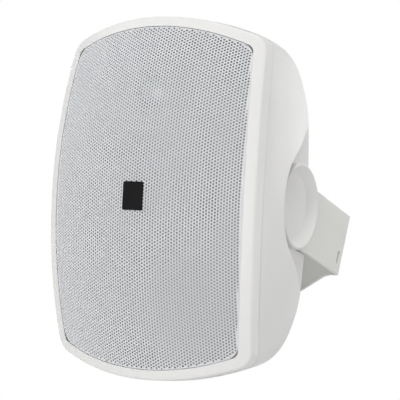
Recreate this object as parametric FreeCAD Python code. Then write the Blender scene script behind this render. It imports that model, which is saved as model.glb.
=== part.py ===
import FreeCAD
import Part
import math
import os

V = FreeCAD.Vector

# Millimetres. The model is laid out from the middle of the domed front: +X right, +Y back, +Z up.
# At the end everything moves so that the origin is the middle of the bracket's wall face.

# Rear cabinet: narrows and shortens towards the back in two smooth curves
CABINET_HALF_WIDTH = 96.9
CABINET_HALF_HEIGHT = 149.8
CABINET_FRONT_Y = 20.0
CABINET_STRAIGHT_Y = 40.0
CABINET_REAR_Y = 178.0
REAR_HALF_WIDTH = CABINET_HALF_WIDTH - 20.9
REAR_HALF_HEIGHT = CABINET_HALF_HEIGHT - 59.8
PLAN_CURVE_POWER = 2.45
SIDE_CURVE_POWER = 3.1
CABINET_END_RADIUS = 218.0
REAR_END_RADIUS = 145.0
CABINET_SIDE_RADIUS = 1288.0
REAR_SIDE_RADIUS = 570.0
CABINET_CORNER_RADIUS = 15.8
REAR_CORNER_RADIUS = 25.0
REAR_EDGE_RADIUS = 11.0
REAR_EDGE_STEPS = 3
CABINET_BAYS = 6
CABINET_WALL = 3.0

# Domed front and the outline of its grille opening, a rim and a small step inside the cabinet's outline
FRONT_RADIUS_ACROSS = 190.0
FRONT_RADIUS_UPRIGHT = 420.0
RIM_WIDTH = 8.4
STEP_AT_SIDES = 0.4
STEP_AT_ENDS = 1.4
GRILLE_HALF_WIDTH = CABINET_HALF_WIDTH - STEP_AT_SIDES - RIM_WIDTH
GRILLE_HALF_HEIGHT = CABINET_HALF_HEIGHT - STEP_AT_ENDS - RIM_WIDTH
GRILLE_END_RADIUS = 210.0
GRILLE_SIDE_RADIUS = 1281.0
GRILLE_CORNER_RADIUS = 7.0

# Bezel and baffle moulding
RIM_EDGE_RADIUS = 2.4
EDGE_TOLERANCE = 0.1
RIM_SETBACK = 26.5
BAND_FLARE = 0.04
BEZEL_DEPTH = 10.5
BEZEL_WALL = 4.5
GRILLE_SEAT = 4.0
BAFFLE_WALL = 4.5
PANEL_Y = 17.0
PANEL_WALL = 5.0
PANEL_MARGIN = 3.0

# Seal in the parting line
GASKET_THICKNESS = 0.8
GASKET_WIDTH = 3.4
GASKET_INSET = 0.6

# Pivot and the pockets for the bracket's arms
PIVOT_Y = 127.5
POCKET_RADIUS = 46.0
POCKET_FLANK_DEG = 32.0
POCKET_LENGTH = 130.0
POCKET_DEPTH = 21.9
POCKET_FLOOR_X = CABINET_HALF_WIDTH - POCKET_DEPTH
PIVOT_BOSS_RADIUS = 15.0
PIVOT_BOSS_LENGTH = 14.0
INSERT_RADIUS = 11.0
INSERT_FLANGE_RADIUS = 14.0
INSERT_FLANGE = 3.0
SPIGOT_RADIUS = 9.0
WASHER_THICKNESS = 1.5
WASHER_RADIUS = 24.0
RUNNING_CLEARANCE = 0.05
SEAT_CLEARANCE = 0.05

# Wall bracket, bent from one sheet
SHEET = 3.0
SHEET_BEND_RADIUS = 5.0
ARM_HEIGHT = 58.4
ARM_REACH = 134.0
ARM_DROP_DEG = 14.1
PLATE_TILT_DEG = 22.3
PLATE_SHOULDER = 12.5
PLATE_MIDDLE_HALF_WIDTH = 42.0
PLATE_RISE = 20.0
PLATE_FLARE_RADIUS = 16.0
WALL_HOLE_CIRCLE = 84.0
WALL_HOLE_COUNT = 4
WALL_FIRST_HOLE_DEG = 45.0
WALL_HOLE_RADIUS = 2.75
TIE_SLOT_LENGTH = 13.0
TIE_SLOT_WIDTH = 4.2
TIE_SLOT_END_RADIUS = 1.9
TIE_SLOT_FROM_REAR = 12.5
TIE_SLOT_BELOW_MIDDLE = 16.0

# Clamp knobs and their bolts
KNOB_RADIUS = 36.7
KNOB_HEIGHT = 11.0
KNOB_FLOOR = 2.6
KNOB_LIP = 1.8
KNOB_LIP_ROUND = 0.8
KNOB_HOLLOW_RADIUS = 6.0
BOLT_RADIUS = 4.0
BOLT_LENGTH = 24.0
BOLT_HEAD_RADIUS = 7.0
BOLT_HEAD = 1.6
BOLT_TIP_ROUND = 1.0

# Grille and badge
GRILLE_INSET = 1.0
GRILLE_SHEET = 1.0
GRILLE_EDGE_GAP = 0.3
BADGE_WIDTH = 18.0
BADGE_HEIGHT = 23.0
BADGE_CORNER_RADIUS = 1.5
BADGE_PROUD = 0.5

# Woofer, on the front of the flat panel
WOOFER_Z = -6.0
WOOFER_RADIUS = 64.0
WOOFER_HOLE_RADIUS = 56.0
WOOFER_SCREW_CIRCLE_RADIUS = 60.5
WOOFER_SCREW_COUNT = 4
WOOFER_FIRST_SCREW_DEG = 45.0
FLANGE_THICKNESS = 2.0
FLANGE_STEP = 2.0
THROAT_GAP = 1.0
BASKET_SHEET = 1.5
BASKET_DEPTH = 28.0
BASKET_BACK_RADIUS = 38.0
BASKET_WINDOW_COUNT = 4
BASKET_WINDOW_WIDTH = 34.0
CONE_RADIUS = 46.0
CONE_SHEET = 0.8
CONE_DEPTH = 21.0
SURROUND_LIP = 4.0
SURROUND_SHEET = 1.0
SURROUND_ROLL_RADIUS = 4.0
DUST_CAP_RADIUS = 16.0
DUST_CAP_RISE = 6.0
COIL_RADIUS = 13.2
COIL_WALL = 0.6
COIL_LENGTH = 24.0
COIL_GAP = 0.8
SPIDER_RADIUS = 32.0
SPIDER_SHEET = 0.8
SPIDER_SHELF = 4.0
SPIDER_LEDGE = 2.0
SPIDER_WAVES = 3
TOP_PLATE_THICKNESS = 5.0
MAGNET_RADIUS = 41.0
MAGNET_HOLE_RADIUS = 22.0
MAGNET_THICKNESS = 14.0
YOKE_THICKNESS = 5.0
MOTOR_EDGE_ROUND = 1.0
POLE_VENT_RADIUS = 4.0

# Tweeter, on the back of the same panel, behind a flared mouth
TWEETER_Z = 86.0
TWEETER_RADIUS = 24.0
TWEETER_SCREW_CIRCLE_RADIUS = 20.8
TWEETER_SCREW_COUNT = 3
TWEETER_FIRST_SCREW_DEG = -90.0
TWEETER_SCREW_LENGTH = 6.5
TWEETER_FACE = 3.0
TWEETER_MOUTH_RADIUS = 18.0
TWEETER_THROAT_RADIUS = 14.0
TWEETER_DOME_RADIUS = 13.0
TWEETER_DOME_RISE = 5.0
TWEETER_DOME_SHEET = 0.6
TWEETER_MOTOR_RADIUS = 17.6
TWEETER_MOTOR_DEPTH = 17.0

# Small screws
SCREW_RADIUS = 1.5
SCREW_HEAD_RADIUS = 3.0
SCREW_HEAD = 1.8
SCREW_LENGTH = 9.0
SCREW_CLEARANCE = 0.05

# Screws from the baffle into bosses of the rear cabinet
BAFFLE_SCREW_PLACES = ((GRILLE_HALF_WIDTH - 7.0, 42.0),
                       (GRILLE_HALF_WIDTH - 16.0, GRILLE_HALF_HEIGHT - 28.0))
BAFFLE_SCREW_RADIUS = 2.0
BAFFLE_SCREW_HEAD_RADIUS = 3.8
BAFFLE_SCREW_HEAD = 2.0
BAFFLE_SCREW_LENGTH = 22.0
BAFFLE_BOSS_RADIUS = 5.0
BAFFLE_BOSS_LENGTH = 40.0
BAFFLE_RIB = 3.0

# Input terminals in the rear wall
TERMINAL_Z = -48.0
TERMINAL_FLANGE_WIDTH = 66.0
TERMINAL_FLANGE_HEIGHT = 52.0
TERMINAL_FLANGE = 2.5
TERMINAL_CUP_WIDTH = 52.0
TERMINAL_CUP_HEIGHT = 38.0
TERMINAL_CUP_DEPTH = 24.0
TERMINAL_WALL = 2.0
TERMINAL_CORNER_RADIUS = 5.0
TERMINAL_FIT = 0.2
POST_SPACING = 19.0
POST_RADIUS = 3.0
POST_LENGTH = 19.0
POST_INNER_LENGTH = 9.0
POST_COLLAR_RADIUS = 5.5
POST_COLLAR = 2.0
NUT_RADIUS = 6.5
NUT_LENGTH = 11.0
NUT_LIFT = 4.0
NUT_EDGE_ROUND = 0.8
NUT_FLUTE_COUNT = 8
NUT_FLUTE_RADIUS = 1.2

# Crossover board on posts of the rear wall
BOARD_WIDTH = 66.0
BOARD_HEIGHT = 70.0
BOARD_THICKNESS = 1.6
BOARD_CORNER_RADIUS = 2.0
BOARD_Z = 32.0
BOARD_STANDOFF = 7.0
BOARD_POST_RADIUS = 4.0
BOARD_POST_INSET = 6.0
INDUCTOR_RADIUS = 14.0
INDUCTOR_CORE_RADIUS = 6.0
INDUCTOR_HEIGHT = 15.0
INDUCTOR_FLANGE = 1.5
INDUCTOR_WIND_INSET = 1.5
CAPACITOR_RADIUS = 7.0
CAPACITOR_LENGTH = 26.0
RESISTOR_LENGTH = 24.0
RESISTOR_SIDE = 8.0
PART_SPACING = 17.0

# Values that follow from the sizes above
ARM_INNER_X = POCKET_FLOOR_X + WASHER_THICKNESS
ARM_OUTER_X = ARM_INNER_X + SHEET
SPAN = 400.0
DOME_REACH_X = CABINET_HALF_WIDTH + RIM_WIDTH * 3
DOME_REACH_Y = CABINET_REAR_Y + PIVOT_Y
DOME_HALF_ANGLE_DEG = 26.0
PIVOT = V(0, PIVOT_Y, 0)
ARM_DROP = math.radians(ARM_DROP_DEG)
PLATE_TILT = math.radians(PLATE_TILT_DEG)
WALL_POINT = V(0, PIVOT_Y + ARM_REACH * math.cos(ARM_DROP), -ARM_REACH * math.sin(ARM_DROP))
WALL_NORMAL = V(0, math.cos(PLATE_TILT), -math.sin(PLATE_TILT))
WALL_UP = V(0, math.sin(PLATE_TILT), math.cos(PLATE_TILT))
ACROSS = V(1, 0, 0)
BACK = V(0, 1, 0)


def outline(half_width, half_height, end_radius, side_radius, corner_radius, y):
    """Closed wire at depth y: two bowed sides and two bowed ends, joined by tangent corner arcs."""
    end_reach = end_radius - corner_radius
    side_reach = side_radius - corner_radius
    end_centre = V(0, y, half_height - end_radius)
    side_centre = V(half_width - side_radius, y, 0)
    link = end_centre - side_centre
    along = (side_reach ** 2 - end_reach ** 2 + link.Length ** 2) / (2 * link.Length)
    aside = math.sqrt(side_reach ** 2 - along ** 2)
    unit = link / link.Length
    corner = side_centre + unit * along + V(-unit.z, 0, unit.x) * aside
    on_end = end_centre + (corner - end_centre) * (end_radius / end_reach)
    on_side = side_centre + (corner - side_centre) * (side_radius / side_reach)
    bisector = (on_end - corner) + (on_side - corner)
    on_corner = corner + bisector * (corner_radius / bisector.Length)

    def turned_to(point, sign_x, sign_z):
        return V(sign_x * point.x, y, sign_z * point.z)

    arcs = [
        (turned_to(on_end, -1, 1), V(0, y, half_height), on_end),
        (on_end, on_corner, on_side),
        (on_side, V(half_width, y, 0), turned_to(on_side, 1, -1)),
        (turned_to(on_side, 1, -1), turned_to(on_corner, 1, -1), turned_to(on_end, 1, -1)),
        (turned_to(on_end, 1, -1), V(0, y, -half_height), turned_to(on_end, -1, -1)),
        (turned_to(on_end, -1, -1), turned_to(on_corner, -1, -1), turned_to(on_side, -1, -1)),
        (turned_to(on_side, -1, -1), V(-half_width, y, 0), turned_to(on_side, -1, 1)),
        (turned_to(on_side, -1, 1), turned_to(on_corner, -1, 1), turned_to(on_end, -1, 1)),
    ]
    return Part.Wire([Part.Arc(*three).toShape() for three in arcs])


def grille_outline(growth, y):
    """The grille opening's outline, grown evenly by a distance."""
    return outline(GRILLE_HALF_WIDTH + growth, GRILLE_HALF_HEIGHT + growth, GRILLE_END_RADIUS + growth,
                   GRILLE_SIDE_RADIUS + growth, GRILLE_CORNER_RADIUS + growth, y)


def grille_prism(growth, y_from=-BEZEL_DEPTH, y_to=PIVOT_Y):
    return Part.Face(grille_outline(growth, y_from)).extrude(BACK * (y_to - y_from))


def dome(depth):
    """Everything behind the domed front surface, moved back evenly by a depth."""
    radius = FRONT_RADIUS_ACROSS - depth
    edge_y = FRONT_RADIUS_ACROSS - math.sqrt(radius ** 2 - DOME_REACH_X ** 2)
    left = V(-DOME_REACH_X, edge_y, 0)
    right = V(DOME_REACH_X, edge_y, 0)
    far_right = V(DOME_REACH_X, DOME_REACH_Y, 0)
    far_left = V(-DOME_REACH_X, DOME_REACH_Y, 0)
    profile = Part.Wire([Part.Arc(left, V(0, depth, 0), right).toShape(),
                         Part.LineSegment(right, far_right).toShape(),
                         Part.LineSegment(far_right, far_left).toShape(),
                         Part.LineSegment(far_left, left).toShape()])
    face = Part.Face(profile)
    axis_point = V(0, FRONT_RADIUS_UPRIGHT, 0)
    face.rotate(axis_point, ACROSS, -DOME_HALF_ANGLE_DEG)
    return face.revolve(axis_point, ACROSS, 2 * DOME_HALF_ANGLE_DEG)


def dome_y(x, z, depth):
    """Depth of the domed surface behind the front's middle, at a place on the front."""
    across = math.sqrt((FRONT_RADIUS_ACROSS - depth) ** 2 - x ** 2)
    ring = FRONT_RADIUS_UPRIGHT - FRONT_RADIUS_ACROSS + across
    return FRONT_RADIUS_UPRIGHT - math.sqrt(ring ** 2 - z ** 2)


def rounded(points, radii):
    """Closed wire through corner points, each corner rounded by its own radius (0 leaves it sharp)."""
    edges = []
    ends = []
    count = len(points)
    for i in range(count):
        corner = points[i]
        back = points[i - 1] - corner
        ahead = points[(i + 1) % count] - corner
        back.normalize()
        ahead.normalize()
        if radii[i] == 0:
            ends.append((corner, corner, corner))
            continue
        half = back.getAngle(ahead) / 2
        bisector = back + ahead
        bisector.normalize()
        middle = corner + bisector * (radii[i] / math.sin(half) - radii[i])
        reach = radii[i] / math.tan(half)
        ends.append((corner + back * reach, middle, corner + ahead * reach))
    for i in range(count):
        start, middle, end = ends[i]
        if radii[i] > 0:
            edges.append(Part.Arc(start, middle, end).toShape())
        following = ends[(i + 1) % count][0]
        if end.distanceToPoint(following) > 1e-6:
            edges.append(Part.LineSegment(end, following).toShape())
    return Part.Wire(edges)


def rounded_box(width, height, radius, y_from, y_to, x=0.0, z=0.0):
    """Upright block between two depths, with rounded corners seen from the front."""
    w = width / 2
    h = height / 2
    points = [V(x - w, y_from, z - h), V(x + w, y_from, z - h),
              V(x + w, y_from, z + h), V(x - w, y_from, z + h)]
    return Part.Face(rounded(points, [radius] * len(points))).extrude(BACK * (y_to - y_from))


def turned(profile, z, radii=None, x=0.0):
    """Solid of revolution about a fore-and-aft axis; the profile's points are (radius, y)."""
    points = [V(x + r, y, z) for r, y in profile]
    wire = rounded(points, radii or [0] * len(points))
    return Part.Face(wire).revolve(V(x, 0, z), BACK, 360)


def turned_across(profile, radii=None):
    """Solid of revolution about the pivot axis; the profile's points are (radius, x)."""
    points = [V(x, PIVOT_Y + r, 0) for r, x in profile]
    wire = rounded(points, radii or [0] * len(points))
    return Part.Face(wire).revolve(PIVOT, ACROSS, 360)


def rod(radius, y_from, y_to, x, z):
    return Part.makeCylinder(radius, y_to - y_from, V(x, y_from, z), BACK)


def rod_across(radius, x_from, x_to):
    return Part.makeCylinder(radius, x_to - x_from, PIVOT + ACROSS * x_from, ACROSS)


def mirrored(shape):
    return shape.mirror(V(0, 0, 0), ACROSS)


def on_circle(radius, count, z, first_deg):
    """Places (x, z) spaced evenly on a circle about a driver's axis."""
    angles = [math.radians(first_deg + 360.0 * i / count) for i in range(count)]
    return [(radius * math.cos(a), z + radius * math.sin(a)) for a in angles]


def screw(x, z, seat_y, radius, head_radius, head, length):
    """Pan-head screw driven backwards from its seat."""
    profile = [(0, seat_y - head), (head_radius, seat_y - head), (head_radius, seat_y), (radius, seat_y),
               (radius, seat_y + length), (0, seat_y + length)]
    return turned(profile, z, [0, head / 2, 0, 0, radius / 2, 0], x)


WOOFER_SCREWS = on_circle(WOOFER_SCREW_CIRCLE_RADIUS, WOOFER_SCREW_COUNT, WOOFER_Z, WOOFER_FIRST_SCREW_DEG)
TWEETER_SCREWS = on_circle(TWEETER_SCREW_CIRCLE_RADIUS, TWEETER_SCREW_COUNT, TWEETER_Z,
                           TWEETER_FIRST_SCREW_DEG)
BAFFLE_SCREWS = [(sx * x, sz * z) for x, z in BAFFLE_SCREW_PLACES for sx in (-1, 1) for sz in (-1, 1)]
WOOFER_SEAT_Y = PANEL_Y - FLANGE_THICKNESS
TWEETER_SEAT_Y = PANEL_Y + PANEL_WALL


def baffle_seat_y(x, z):
    """Where a baffle screw's head seats: a spot face just under the lowest part of the curved wall."""
    reach = BAFFLE_SCREW_HEAD_RADIUS
    return max(dome_y(abs(x) + reach, abs(z) + reach, GRILLE_SEAT), dome_y(abs(x), abs(z), GRILLE_SEAT))


def rim_edge(edge):
    """True for an edge where the domed front meets the outer band."""
    place = edge.valueAt((edge.FirstParameter + edge.LastParameter) / 2)
    return abs(place.y - dome_y(place.x, place.z, 0)) < EDGE_TOLERANCE


def front_baffle():
    """Bezel rim, flared side band and the baffle with its flat oval panel, in one moulding."""
    near = RIM_SETBACK - CABINET_FRONT_Y
    far = PIVOT_Y - RIM_SETBACK
    band = Part.makeLoft([grille_outline(RIM_WIDTH - BAND_FLARE * (RIM_SETBACK + near), -near),
                          grille_outline(RIM_WIDTH + BAND_FLARE * (far - RIM_SETBACK), far)], True, True)
    front = band.common(dome(0))
    rim_edges = [edge for edge in front.Edges if rim_edge(edge)]
    front = front.makeFillet(RIM_EDGE_RADIUS, rim_edges)
    shell = front.cut(dome(BEZEL_DEPTH))
    shell = shell.cut(grille_prism(0).cut(dome(GRILLE_SEAT)))
    shell = shell.cut(grille_prism(RIM_WIDTH - BEZEL_WALL).common(dome(GRILLE_SEAT + BAFFLE_WALL)))
    panel = grille_prism(-PANEL_MARGIN, PANEL_Y, PANEL_Y + PANEL_WALL).common(dome(GRILLE_SEAT))
    shell = shell.fuse(panel).cut(grille_prism(-PANEL_MARGIN, -BEZEL_DEPTH, PANEL_Y))
    flare_front = PANEL_Y - PANEL_WALL
    flare_radius = 2 * TWEETER_MOUTH_RADIUS - TWEETER_THROAT_RADIUS
    flare = turned([(0, flare_front), (flare_radius, flare_front), (TWEETER_THROAT_RADIUS, TWEETER_SEAT_Y),
                    (0, TWEETER_SEAT_Y)], TWEETER_Z)
    cuts = [rod(WOOFER_HOLE_RADIUS, 0, PIVOT_Y, 0, WOOFER_Z), flare,
            rod(TWEETER_RADIUS + SEAT_CLEARANCE, TWEETER_SEAT_Y, PIVOT_Y, 0, TWEETER_Z)]
    for x, z in WOOFER_SCREWS:
        cuts.append(rod(SCREW_RADIUS + SCREW_CLEARANCE, 0, PIVOT_Y, x, z))
    for x, z in TWEETER_SCREWS:
        tip = TWEETER_SEAT_Y + TWEETER_FACE - TWEETER_SCREW_LENGTH
        cuts.append(rod(SCREW_RADIUS + SCREW_CLEARANCE, tip - SCREW_CLEARANCE, PIVOT_Y, x, z))
    for x, z in BAFFLE_SCREWS:
        seat = baffle_seat_y(x, z)
        cuts.append(rod(BAFFLE_SCREW_RADIUS + SCREW_CLEARANCE, 0, PIVOT_Y, x, z))
        cuts.append(rod(BAFFLE_SCREW_HEAD_RADIUS + SCREW_CLEARANCE, 0, seat, x, z))
    return shell.cut(cuts).removeSplitter()


def cabinet_section(y, inset):
    """Outline of the rear cabinet at one depth, inset by a wall."""
    depth = max(0.0, y - CABINET_STRAIGHT_Y) / (CABINET_REAR_Y - CABINET_STRAIGHT_Y)
    plan = depth ** PLAN_CURVE_POWER
    side = depth ** SIDE_CURVE_POWER

    def between(front, rear, share):
        return front + (rear - front) * share - inset

    return outline(between(CABINET_HALF_WIDTH, REAR_HALF_WIDTH, plan),
                   between(CABINET_HALF_HEIGHT, REAR_HALF_HEIGHT, side),
                   between(CABINET_END_RADIUS, REAR_END_RADIUS, side),
                   between(CABINET_SIDE_RADIUS, REAR_SIDE_RADIUS, plan),
                   between(CABINET_CORNER_RADIUS, REAR_CORNER_RADIUS, side), y)


def cabinet_body(inset):
    """The rear cabinet's outer form, or its hollow, as a smooth loft with a rounded rear edge."""
    edge = REAR_EDGE_RADIUS - inset
    rear = CABINET_REAR_Y - inset
    run = (rear - edge - CABINET_FRONT_Y) / CABINET_BAYS
    places = [(CABINET_FRONT_Y + run * i, 0.0) for i in range(CABINET_BAYS + 1)]
    for step in range(1, REAR_EDGE_STEPS + 1):
        turn = math.pi / 2 * step / REAR_EDGE_STEPS
        places.append((rear - edge + edge * math.sin(turn), edge * (1 - math.cos(turn))))
    return Part.makeLoft([cabinet_section(y, inset + shrink) for y, shrink in places], True, False)


def pocket(growth):
    """Keyhole-shaped space for one arm: round about the pivot, opening towards the back."""
    radius = POCKET_RADIUS + growth
    floor = POCKET_FLOOR_X - growth
    flank = math.radians(POCKET_FLANK_DEG)
    lower = V(floor, PIVOT_Y - radius * math.sin(flank), -radius * math.cos(flank))
    run = V(0, math.cos(flank), -math.sin(flank)) * POCKET_LENGTH
    upper = V(floor, lower.y, -lower.z)
    rise = V(0, run.y, -run.z)
    front = V(floor, PIVOT_Y - radius, 0)
    edges = [Part.Arc(lower, front, upper).toShape(),
             Part.LineSegment(upper, upper + rise).toShape(),
             Part.LineSegment(upper + rise, lower + run).toShape(),
             Part.LineSegment(lower + run, lower).toShape()]
    return Part.Face(Part.Wire(edges)).extrude(ACROSS * CABINET_HALF_WIDTH)


def rear_cabinet():
    """Hollow rear moulding with side pockets, pivot bosses, screw bosses and board posts."""
    behind_seal = dome(BEZEL_DEPTH + GASKET_THICKNESS)
    pocket_right = pocket(0)
    pocket_wall = pocket(CABINET_WALL)
    body = cabinet_body(0)
    hollow = cabinet_body(CABINET_WALL).cut([pocket_wall, mirrored(pocket_wall)])
    inner = POCKET_FLOOR_X - CABINET_WALL
    boss = rod_across(PIVOT_BOSS_RADIUS, inner - PIVOT_BOSS_LENGTH, inner)
    shell = body.common(behind_seal).cut(hollow).cut([pocket_right, mirrored(pocket_right)])
    additions = [boss, mirrored(boss)]
    behind_baffle = dome(GRILLE_SEAT + BAFFLE_WALL)
    for x, z in BAFFLE_SCREWS:
        side = math.copysign(1, x)
        start = dome_y(abs(x), abs(z), GRILLE_SEAT) - BAFFLE_BOSS_RADIUS
        post = rod(BAFFLE_BOSS_RADIUS, start, start + BAFFLE_BOSS_LENGTH, x, z).common(behind_baffle)
        reach = CABINET_HALF_WIDTH - abs(x)
        rib = Part.makeBox(reach, BAFFLE_BOSS_LENGTH, BAFFLE_RIB,
                           V(min(x, x + side * reach), start, z - BAFFLE_RIB / 2))
        rib = rib.common(behind_seal).common(body)
        additions.append(post.fuse(rib))
    rear_inside = CABINET_REAR_Y - CABINET_WALL
    board_face = rear_inside - BOARD_STANDOFF
    for x, z in board_post_places():
        additions.append(rod(BOARD_POST_RADIUS, board_face, rear_inside, x, z))
    shell = shell.fuse(additions)
    bore = rod_across(INSERT_RADIUS + SEAT_CLEARANCE, 0, POCKET_FLOOR_X + CABINET_WALL)
    cuts = [bore.cut(rod_across(INSERT_RADIUS * 2, 0, inner - PIVOT_BOSS_LENGTH))]
    cuts.append(mirrored(cuts[0]))
    for x, z in BAFFLE_SCREWS:
        tip = baffle_seat_y(x, z) + BAFFLE_SCREW_LENGTH
        cuts.append(rod(BAFFLE_SCREW_RADIUS + SCREW_CLEARANCE, 0, tip, x, z))
    cut_from = rear_inside - CABINET_WALL
    cut_to = CABINET_REAR_Y + CABINET_WALL
    cuts.append(rounded_box(TERMINAL_CUP_WIDTH + TERMINAL_FIT, TERMINAL_CUP_HEIGHT + TERMINAL_FIT,
                            TERMINAL_CORNER_RADIUS, cut_from, cut_to, 0, TERMINAL_Z))
    for x, z in terminal_screw_places():
        cuts.append(rod(SCREW_RADIUS + SCREW_CLEARANCE, cut_from, cut_to, x, z))
    return shell.cut(cuts).removeSplitter()


def cabinet_gasket():
    """Thin seal in the parting line, set in a little from the outer faces."""
    outer = cabinet_body(GASKET_INSET)
    inner = cabinet_body(GASKET_INSET + GASKET_WIDTH - CABINET_WALL + BEZEL_WALL / 2)
    ring = outer.cut(inner)
    front = BEZEL_DEPTH + SEAT_CLEARANCE
    back = BEZEL_DEPTH + GASKET_THICKNESS - SEAT_CLEARANCE
    return ring.common(dome(front)).cut(dome(back))


def grille():
    """Doubly curved sheet with a folded edge that stands on the seat."""
    outer = grille_prism(-GRILLE_EDGE_GAP)
    inner = grille_prism(-GRILLE_EDGE_GAP - GRILLE_SHEET)
    hollow = inner.common(dome(GRILLE_INSET + GRILLE_SHEET))
    return outer.common(dome(GRILLE_INSET)).cut(dome(GRILLE_SEAT)).cut(hollow)


def badge():
    """Small bare plate on the middle of the grille, its back shaped to the sheet."""
    block = rounded_box(BADGE_WIDTH, BADGE_HEIGHT, BADGE_CORNER_RADIUS, -BADGE_PROUD, PANEL_Y)
    return block.cut(dome(GRILLE_INSET))


def woofer_parts():
    """Cone driver: frame, suspension, cone, coil and motor, from front to back."""
    seat = WOOFER_SEAT_Y
    back = PANEL_Y + BASKET_DEPTH
    throat = WOOFER_HOLE_RADIUS - THROAT_GAP
    mouth = CONE_RADIUS + SURROUND_LIP + FLANGE_STEP
    ledge = SPIDER_RADIUS - SPIDER_LEDGE
    shelf_y = back - SPIDER_SHELF
    basket = turned([(mouth, seat), (WOOFER_RADIUS, seat), (WOOFER_RADIUS, PANEL_Y),
                     (throat, PANEL_Y), (BASKET_BACK_RADIUS, shelf_y), (BASKET_BACK_RADIUS, back),
                     (COIL_RADIUS + COIL_GAP, back), (COIL_RADIUS + COIL_GAP, back - BASKET_SHEET),
                     (ledge, back - BASKET_SHEET), (ledge, shelf_y),
                     (BASKET_BACK_RADIUS - BASKET_SHEET, shelf_y), (mouth, PANEL_Y)], WOOFER_Z)
    windows = []
    for x, z in on_circle(1.0, BASKET_WINDOW_COUNT, 0.0, 0):
        slot = Part.makeBox(WOOFER_RADIUS, shelf_y - PANEL_Y - 2 * FLANGE_THICKNESS, BASKET_WINDOW_WIDTH,
                            V(BASKET_WINDOW_WIDTH / 2, PANEL_Y + FLANGE_THICKNESS, -BASKET_WINDOW_WIDTH / 2))
        slot.rotate(V(0, 0, 0), BACK, math.degrees(math.atan2(z, x)))
        slot.translate(V(0, 0, WOOFER_Z))
        windows.append(slot)
    holes = [rod(SCREW_RADIUS + SCREW_CLEARANCE, 0, PIVOT_Y, x, z) for x, z in WOOFER_SCREWS]
    cone_back = seat + CONE_DEPTH
    inner_lip = CONE_RADIUS - SURROUND_LIP
    cone = turned([(COIL_RADIUS, cone_back), (inner_lip, seat), (CONE_RADIUS, seat),
                   (CONE_RADIUS, seat + CONE_SHEET), (inner_lip, seat + CONE_SHEET),
                   (COIL_RADIUS, cone_back + CONE_SHEET)], WOOFER_Z)
    roll_middle = CONE_RADIUS + SURROUND_ROLL_RADIUS - SURROUND_SHEET
    outer_lip = roll_middle + SURROUND_ROLL_RADIUS + SURROUND_LIP
    roll_outer = roll_middle + SURROUND_ROLL_RADIUS
    roll_inner = roll_middle - SURROUND_ROLL_RADIUS
    surround = surround_ring(inner_lip, outer_lip, roll_inner, roll_outer, seat)
    slope = CONE_DEPTH / (inner_lip - COIL_RADIUS)
    cap_edge = seat + (inner_lip - DUST_CAP_RADIUS) * slope
    cap = spherical_cap(DUST_CAP_RADIUS, DUST_CAP_RISE, CONE_SHEET, cap_edge, WOOFER_Z)
    coil_front = cone_back + CONE_SHEET
    coil_back = coil_front + COIL_LENGTH
    coil_inside = COIL_RADIUS - COIL_WALL
    coil = turned([(coil_inside, coil_front), (COIL_RADIUS, coil_front), (COIL_RADIUS, coil_back),
                   (coil_inside, coil_back)], WOOFER_Z)
    spider_edge = BASKET_BACK_RADIUS - BASKET_SHEET - SEAT_CLEARANCE
    spider = spider_ring(COIL_RADIUS + SEAT_CLEARANCE, spider_edge, shelf_y)
    plate_back = back + TOP_PLATE_THICKNESS
    gap_radius = COIL_RADIUS + COIL_GAP
    plate = turned([(gap_radius, back), (BASKET_BACK_RADIUS, back), (BASKET_BACK_RADIUS, plate_back),
                    (gap_radius, plate_back)], WOOFER_Z)
    magnet_back = plate_back + MAGNET_THICKNESS
    magnet = turned([(MAGNET_HOLE_RADIUS, plate_back), (MAGNET_RADIUS, plate_back),
                     (MAGNET_RADIUS, magnet_back), (MAGNET_HOLE_RADIUS, magnet_back)], WOOFER_Z,
                    [0, MOTOR_EDGE_ROUND, MOTOR_EDGE_ROUND, 0])
    pole_radius = COIL_RADIUS - COIL_WALL - COIL_GAP
    yoke_back = magnet_back + YOKE_THICKNESS
    yoke = turned([(POLE_VENT_RADIUS, back), (pole_radius, back), (pole_radius, magnet_back),
                   (BASKET_BACK_RADIUS, magnet_back), (BASKET_BACK_RADIUS, yoke_back),
                   (POLE_VENT_RADIUS, yoke_back)], WOOFER_Z, [0, 0, 0, 0, MOTOR_EDGE_ROUND, 0])
    screws = Part.Compound([screw(x, z, seat, SCREW_RADIUS, SCREW_HEAD_RADIUS, SCREW_HEAD, SCREW_LENGTH)
                            for x, z in WOOFER_SCREWS])
    return {
        "woofer_basket": basket.cut(windows + holes),
        "woofer_surround": surround,
        "woofer_cone": cone,
        "woofer_dust_cap": cap,
        "woofer_voice_coil": coil,
        "woofer_spider": spider,
        "woofer_top_plate": plate,
        "woofer_magnet": magnet,
        "woofer_yoke": yoke,
        "woofer_screws": screws,
    }


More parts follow.
